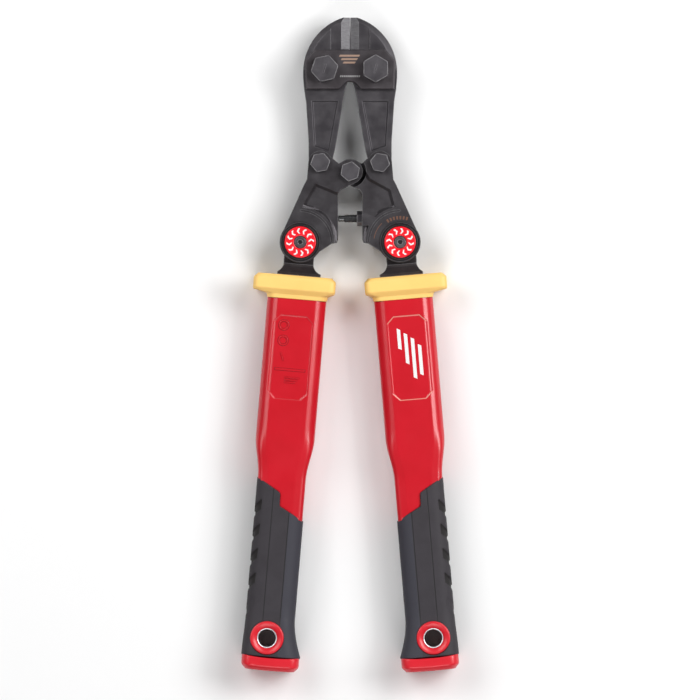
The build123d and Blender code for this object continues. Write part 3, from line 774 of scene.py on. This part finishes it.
def rubber(side):
    """Overmoulded grip: fine pebbled skin, with painted shade in its creases and recesses."""
    paint = Paint(f"{side}_grip_rubber")
    cloud = paint.noise(70, 4, 0.6)
    colour = paint.mix(paint.ramp(cloud, 0.3, 0.75), (0.033, 0.029, 0.034), (0.044, 0.039, 0.046))
    u, s, z = paint.on_handle(side)
    inner_crease = GRIP_CREASES[1]
    inner_facet = paint.ramp(u, inner_crease * MM, (inner_crease + 0.8) * MM)
    colour = paint.mix(inner_facet, colour, (0.044, 0.043, 0.055))
    # the same distance round the section as in grip_section
    high = paint.ramp(paint.math("SUBTRACT", 0.012, paint.math("ABSOLUTE", z)), 0, 0.01, 0, 0.009)
    around = paint.math("ADD", paint.math("ABSOLUTE", u), high)
    start = (RECESS_S - RECESS_SLOPE * RECESS_END) * MM
    level = paint.math("MULTIPLY", around, -RECESS_SLOPE)
    level = paint.math("ADD", level, paint.math("SUBTRACT", s, start))
    turn = paint.math("FRACT", paint.math("DIVIDE", level, RECESS_PITCH * MM))
    share = RECESS_LENGTH / RECESS_PITCH
    # painted shade on the recess floors
    recess_shade_mask = paint.ramp(turn, share - 0.03, share, 1.0, 0.0)
    # painted shade only from the first recess to the last shaded one, past their inner ends, on the outer side
    limits = (
        (level, -0.0002, 0.0, 0, 1), (level, 0.066, 0.0665, 1, 0),
        (around, RECESS_END * MM, (RECESS_END + 0.3) * MM, 0, 1), (u, -0.002, 0.0, 1, 0),
    )
    for limit in limits:
        recess_shade_mask = paint.math("MULTIPLY", recess_shade_mask, paint.ramp(*limit))
    colour = paint.mix(recess_shade_mask, colour, (0.016, 0.014, 0.0145))
    # painted shade along the two creases
    crease_shade_lines = []
    for crease in GRIP_CREASES:
        away = paint.math("ABSOLUTE", paint.math("SUBTRACT", u, crease * MM))
        crease_shade_lines.append(paint.ramp(away, 0.0002, 0.0005, 1.0, 0.0))
    fade = paint.ramp(s, 0.262, 0.275, 0.85, 0.0)
    crease_shade_lines = paint.math("MULTIPLY", paint.math("ADD", *crease_shade_lines), fade)
    colour = paint.mix(crease_shade_lines, colour, (0.012, 0.011, 0.012))
    paint.set(base_color=colour, specular_ior_level=0.28)
    paint.set(roughness=paint.ramp(cloud, 0.3, 0.7, 0.55, 0.65))
    paint.bump([(paint.pits(1700), 0.00006, 0.35), (paint.noise(900, 3), 0.00004, 0.3)])
    return paint.mat


def bright_lip(name):
    """Turned liner: bright alloy on its lips, with painted shade making its bore near-black."""
    paint = Paint(name)
    marks = paint.noise(1200, 4, 0.6, stretch=(1, 1, 8))
    normal = paint.normal()
    lip = paint.ramp(paint.math("ABSOLUTE", normal[2]), 0.15, 0.4)
    bright = paint.mix(marks, (0.92, 0.92, 0.94), (0.80, 0.80, 0.83))
    # the bore's near-black colour is painted shade, so the hanging hole reads dark
    paint.set(base_color=paint.mix(lip, (0.008, 0.008, 0.009), bright))
    paint.set(metallic=paint.math("MULTIPLY", lip, 0.5))
    paint.set(roughness=paint.ramp(marks, 0.3, 0.7, 0.24, 0.34))
    paint.bump([(marks, 0.00001, 0.4)])
    return paint.mat


def plain_metal(name, colour, rough):
    """Turned metal with fine concentric marks."""
    paint = Paint(name)
    marks = paint.noise(1200, 4, 0.6, stretch=(1, 1, 8))
    shade = tuple(c * 0.75 for c in colour)
    paint.set(base_color=paint.mix(paint.ramp(marks, 0.3, 0.7), colour, shade), metallic=0.9)
    paint.set(roughness=paint.ramp(marks, 0.3, 0.7, rough - 0.05, rough + 0.08))
    paint.bump([(marks, 0.00002, 0.4)])
    return paint.mat


def ink(name, colour, rough=0.4, metallic=0.0):
    """Printed or etched mark, a little uneven."""
    paint = Paint(name)
    spots = paint.noise(2200, 4, 0.6)
    shade = tuple(c * 0.82 for c in colour)
    paint.set(base_color=paint.mix(paint.ramp(spots, 0.4, 0.75), colour, shade), metallic=metallic)
    paint.set(roughness=paint.ramp(spots, 0.3, 0.7, rough - 0.05, rough + 0.05))
    paint.bump([(spots, 0.00001, 0.3)])
    return paint.mat


def paint_label_highlight(mat, side, colour, strength):
    """Paints a highlight on the ends and corners of the label panel's border."""
    paint = Paint(mat=mat)
    u, s, z = paint.on_handle(side)
    middle, half = sum(LABEL_S) / 2 * MM, (LABEL_S[1] - LABEL_S[0]) / 2 * MM
    du = paint.math("ABSOLUTE", u)
    ds = paint.math("ABSOLUTE", paint.math("SUBTRACT", s, middle))
    across_edge = paint.math("SUBTRACT", du, LABEL_HALF * MM)
    end_edge = paint.math("SUBTRACT", ds, half)
    reach = half + (LABEL_HALF - LABEL_CORNER) * MM
    corner = paint.math("SUBTRACT", paint.math("ADD", du, ds), reach)
    corner = paint.math("MULTIPLY", corner, math.sqrt(0.5))
    edge = paint.math("MAXIMUM", paint.math("MAXIMUM", across_edge, end_edge), corner)
    away = paint.math("ABSOLUTE", paint.math("ADD", edge, 0.0001))
    line = paint.ramp(away, 0.00015, 0.00045, 1.0, 0.0)
    ends = paint.ramp(paint.math("SUBTRACT", ds, half - LABEL_CORNER * MM), -0.0004, 0.0004)
    front = paint.math("MULTIPLY", paint.ramp(z, 0.010, 0.011), strength)
    mask = paint.math("MULTIPLY", paint.math("MULTIPLY", line, ends), front)
    # painted highlight along the label's ends and cut corners
    paint.set(base_color=paint.mix(mask, paint.base(), colour))
    return mat


# ---- marks, all plain shapes ----
MARK_SINK = 0.05          # how far an etched mark reaches into its face
MARK_RISE = 0.02          # and how far it stands over it


def slanted_bar(x, y, length, height, lean):
    shift = lean * height
    return [(x, y), (x + length, y), (x + length + shift, y + height), (x + shift, y + height)]


def rectangle(left, right, low, high):
    return [(left, low), (right, low), (right, high), (left, high)]


def arc_band(low, high, start, end, steps=12):
    """Outline of a band round the origin, between two radii and two angles in degrees."""
    angles = np.radians(np.linspace(start, end, steps))
    outer = [(high * math.cos(a), high * math.sin(a)) for a in angles]
    return outer + [(low * math.cos(a), low * math.sin(a)) for a in angles[::-1]]


def head_marks(copper, pale):
    """Etched service marks on the front plate: three slanted bars over a row of ticks."""
    top = (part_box("front_plate")[1].z - mid_z) / MM
    bars = [slanted_bar(-7.8 + 1.3 * k, 8.4 - 2.4 * k, 14.0 - 2.8 * k, 1.3, 0.6) for k in range(3)]
    verts, faces = prisms(bars, top - MARK_SINK, top + MARK_RISE)
    make_piece("plate_bars", on_head(verts), faces, copper, "head")
    ticks = [slanted_bar(-7.1 + 1.3 * k, -5.9, 0.75, 1.2, 0.3) for k in range(11)]
    verts, faces = prisms(ticks, top - MARK_SINK, top + MARK_RISE)
    make_piece("plate_ticks", on_head(verts), faces, pale, "head")


def arm_marks(copper):
    """An etched scale of ticks and a thin arc round the right button."""
    top = (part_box("right_bezel")[0].z - mid_z) / MM
    ticks = [arc_band(15.9, 18.3, a, a + 4.2, 4) for a in np.linspace(58, 104, 7)]
    arc = arc_band(18.1, 18.55, 8, 46)
    verts, faces = prisms(ticks + [arc], top - MARK_SINK, top + MARK_RISE)
    make_piece("turn_scale", at_pivot(verts, "right"), faces, copper, "right_arm")


LABEL_BARS = ((60.0, 14.0), (63.5, 21.0), (67.0, 28.0), (72.0, 21.0))    # s, length
LABEL_RINGS = ((-6.5, 58.7), (-6.2, 69.5))    # u, s of the raised rings' middles


def label_marks(white, red, shade):
    """A printed bar pattern on the right label, raised rings and plain bars on the left one, with painted shade
    round the left one's rings and rule.
    """
    face = TUBE_HALF - LABEL_DEPTH
    bars = []
    for k, (start, length) in enumerate(LABEL_BARS):
        right = 7.5 - 4.6 * k
        left, end = right - 2.4, start + length
        bars.append([(right, start), (left, start + 1.2), (left, end + 1.2), (right, end)])
    verts, faces = prisms(bars, face - 0.1, face + 0.03)
    make_piece(
        "right_label_print", on_handle(verts, "right"), faces, white, "right_handle",
    )
    high, seat = face + 0.5, face + 0.04
    profile = [(2.6, face), (2.6, high), (3.6, high), (3.6, face)]
    rings = [lathe(profile, place, 48) for place in LABEL_RINGS]
    slant = [(-7.6, 77.9), (-6.8, 77.9), (-4.6, 83.4), (-5.4, 83.4)]
    rule = rectangle(-10.4, 10.8, 88.9, 90.3)
    short = [rectangle(-3.0, 7.4 - 1.5 * k, 94.6 + 1.7 * k, 95.4 + 1.7 * k) for k in range(3)]
    verts, faces = joined([*rings, prisms([slant, rule, *short], face - 0.1, high)])
    relief = make_piece(
        "left_label_relief", on_handle(verts, "left"), faces, red, "left_handle",
    )
    soften(relief, 0.1, 2)
    # painted shade: dark seats just round the raised rule and each ring's edges
    shade_seats = [prisms([rectangle(-10.7, 11.1, 88.6, 90.6)], face - 0.1, seat)]
    for place in LABEL_RINGS:
        for low in (2.25, 3.6):
            wide = low + 0.35
            profile = [(low, face - 0.1), (low, seat), (wide, seat), (wide, face - 0.1)]
            shade_seats.append(lathe(profile, place, 48))
    verts, faces = joined(shade_seats)
    make_piece(
        "left_label_painted_shade", on_handle(verts, "left"), faces, shade, "left_handle",
    )


# ---- the whole tool ----
def paint_cad(names, mat, width=0.0):
    """Gives CAD nodes a material and, where width isn't nought, softened edges."""
    for name in names:
        node = frame["nodes"][name]
        for place in node.material_slots:
            place.material = mat
        if width:
            soften_cad(name, width)


steel = oxide_steel(
    "arm_oxide", (0.052, 0.047, 0.052), (0.073, 0.068, 0.074), edge_wear_and_highlight=(0.17, 0.165, 0.172),
    reach=0.0006,
)
plate = oxide_steel("plate_oxide", (0.062, 0.054, 0.059), (0.083, 0.075, 0.081), 0.46)
bolt = oxide_steel(
    "bolt_oxide", (0.086, 0.080, 0.089), (0.124, 0.116, 0.127), 0.38, (0.38, 0.37, 0.38), 0.0009,
)
neck = oxide_steel("neck_oxide", (0.044, 0.037, 0.039), (0.064, 0.055, 0.057), 0.38)
jaw = jaw_steel(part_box("front_plate")[1].y)
inner = plain_metal("inner_steel", (0.10, 0.10, 0.105), 0.35)
alloy = bright_lip("liner_alloy")
reds = {}
# painted highlight colour and strength for each label's border
label_highlights = (("left", (0.62, 0.06, 0.07), 0.7), ("right", (0.80, 0.36, 0.28), 0.85))
for side, border, strength in label_highlights:
    reds[side] = moulded(
        f"{side}_handle_red", (0.58, 0.009, 0.020), (0.54, 0.007, 0.016), 0.30, peel=0.00001,
        coat=0.2, scale=600,
    )
    paint_label_highlight(reds[side], side, border, strength)
cap_red = moulded(
    "cap_red", (0.70, 0.016, 0.030), (0.66, 0.012, 0.024), 0.34, peel=0.00001, coat=0.1,
    scale=600,
)
button_red = moulded("button_red", (0.86, 0.010, 0.024), (0.80, 0.008, 0.018), 0.30, coat=0.1)
yellow = moulded(
    "guard_yellow", (0.97, 0.62, 0.18), (0.94, 0.58, 0.16), 0.5, peel=0.00003, scale=900,
)
black = moulded("bezel_black", (0.012, 0.012, 0.013), (0.018, 0.017, 0.018), 0.4)
painted_shade_red = ink("label_painted_shade", (0.30, 0.004, 0.010))
white = ink("print_white", (0.85, 0.85, 0.84), 0.45)
copper = ink("etched_copper", (0.42, 0.28, 0.21), 0.4, 0.3)
dim_copper = ink("etched_copper_dim", (0.20, 0.10, 0.07), 0.4, 0.4)
pale = ink("etched_pale", (0.50, 0.49, 0.49), 0.4, 0.3)

paint_cad(["front_plate", "back_plate"], plate, 0.4)
paint_cad(["left_jaw", "right_jaw"], jaw, 0.4)
paint_cad(["left_arm", "right_arm"], steel, 0.55)
paint_cad(["jaw_bolts", "jaw_nuts", "centre_bolt", "centre_nut", "stop_lock_nut"], bolt, 0.25)
for side in SIDES:
    paint_cad([f"{side}_link_bolt", f"{side}_link_nut", f"{side}_pivot_nut"], bolt, 0.25)
    paint_cad([f"{side}_pivot_pin"], bolt, 0.2)
    paint_cad([f"{side}_handle_fitting"], neck, 0.35)
    paint_cad([f"{side}_lock_gear", f"{side}_button_spring"], inner)
    button_spring(side, inner)
    handle_tube(side, reds[side])
    guard(side, yellow)
    grip(side, rubber(side))
    end_cap(side, cap_red)
    hang_hole(side, cap_red, alloy)
    push_button(side, button_red, white, black)
stop_screw(plain_metal("screw_steel", (0.17, 0.17, 0.175), 0.3))
head_marks(copper, pale)
arm_marks(dim_copper)
label_marks(white, reds["left"], painted_shade_red)


# ---- floor, light and camera ----
def area_light(name, place, target, width, length, power):
    """A rectangle of light: width along the floor, length upwards."""
    data = bpy.data.lights.new(name, "AREA")
    data.shape = "RECTANGLE"
    data.size, data.size_y = width, length
    data.energy = power
    light = bpy.data.objects.new(name, data)
    light.location = place
    light.rotation_euler = (Vector(target) - Vector(place)).to_track_quat("-Z", "Y").to_euler()
    bpy.context.scene.collection.objects.link(light)


def floor():
    """The plain pale floor that the tool lies on."""
    mesh = bpy.data.meshes.new("floor")
    half = 3.0
    corners = [(-half, -half, 0), (half, -half, 0), (half, half, 0), (-half, half, 0)]
    mesh.from_pydata(corners, [], [(0, 1, 2, 3)])
    paint = Paint("floor_pale")
    cloud = paint.noise(3, 4)
    paint.set(base_color=paint.mix(cloud, (0.90, 0.90, 0.90), (0.87, 0.87, 0.87)), roughness=0.7)
    mesh.materials.append(paint.mat)
    plane = bpy.data.objects.new("floor", mesh)
    bpy.context.scene.collection.objects.link(plane)


def camera():
    """Straight above the tool, framing 490 mm at the tool's mid-plane."""
    distance, field = 8.0, 0.490
    aside, below = 0.0001, 0.0034     # how far the picture's middle lies from the box's
    data = bpy.data.cameras.new("camera")
    data.sensor_width = 36.0
    data.lens = data.sensor_width * distance / field
    data.clip_end = 20.0
    eye = bpy.data.objects.new("camera", data)
    middle_y = (cad_box[0][1] + cad_box[1][1]) / 2
    eye.location = (-aside, middle_y - below, mid_z + distance)
    bpy.context.scene.collection.objects.link(eye)
    bpy.context.scene.camera = eye


def studio_world():
    """Pale surroundings, brightest near the horizon and darker overhead."""
    world = bpy.data.worlds.new("studio")
    world.use_nodes = True
    tree = world.node_tree
    place = tree.nodes.new("ShaderNodeTexCoord")
    split = tree.nodes.new("ShaderNodeSeparateXYZ")
    fade = tree.nodes.new("ShaderNodeMapRange")
    tree.links.new(place.outputs["Generated"], split.inputs[0])
    tree.links.new(split.outputs["Z"], fade.inputs["Value"])
    for key, number in (("From Min", 0.2), ("From Max", 0.95), ("To Min", 0.72), ("To Max", 0.22)):
        fade.inputs[key].default_value = number
    tree.links.new(fade.outputs["Result"], tree.nodes["Background"].inputs["Strength"])
    bpy.context.scene.world = world


floor()
area_light("strip_left", (-1.5, 0.36, 1.35), (0, 0.36, 0), 0.9, 0.7, 7)
area_light("strip_right", (1.5, 0.36, 1.35), (0, 0.36, 0), 0.9, 0.7, 21)
area_light("soft_left", (-1.08, 0.91, 1.69), (0, 0, 0), 1.0, 1.0, 16)
area_light("soft_right", (1.08, 0.91, 1.69), (0, 0, 0), 1.0, 1.0, 20)
area_light("soft_low", (0, -1.4, 1.6), (0, 0, 0), 1.2, 1.2, 15)
studio_world()
camera()
bpy.context.scene.view_settings.view_transform = "Standard"
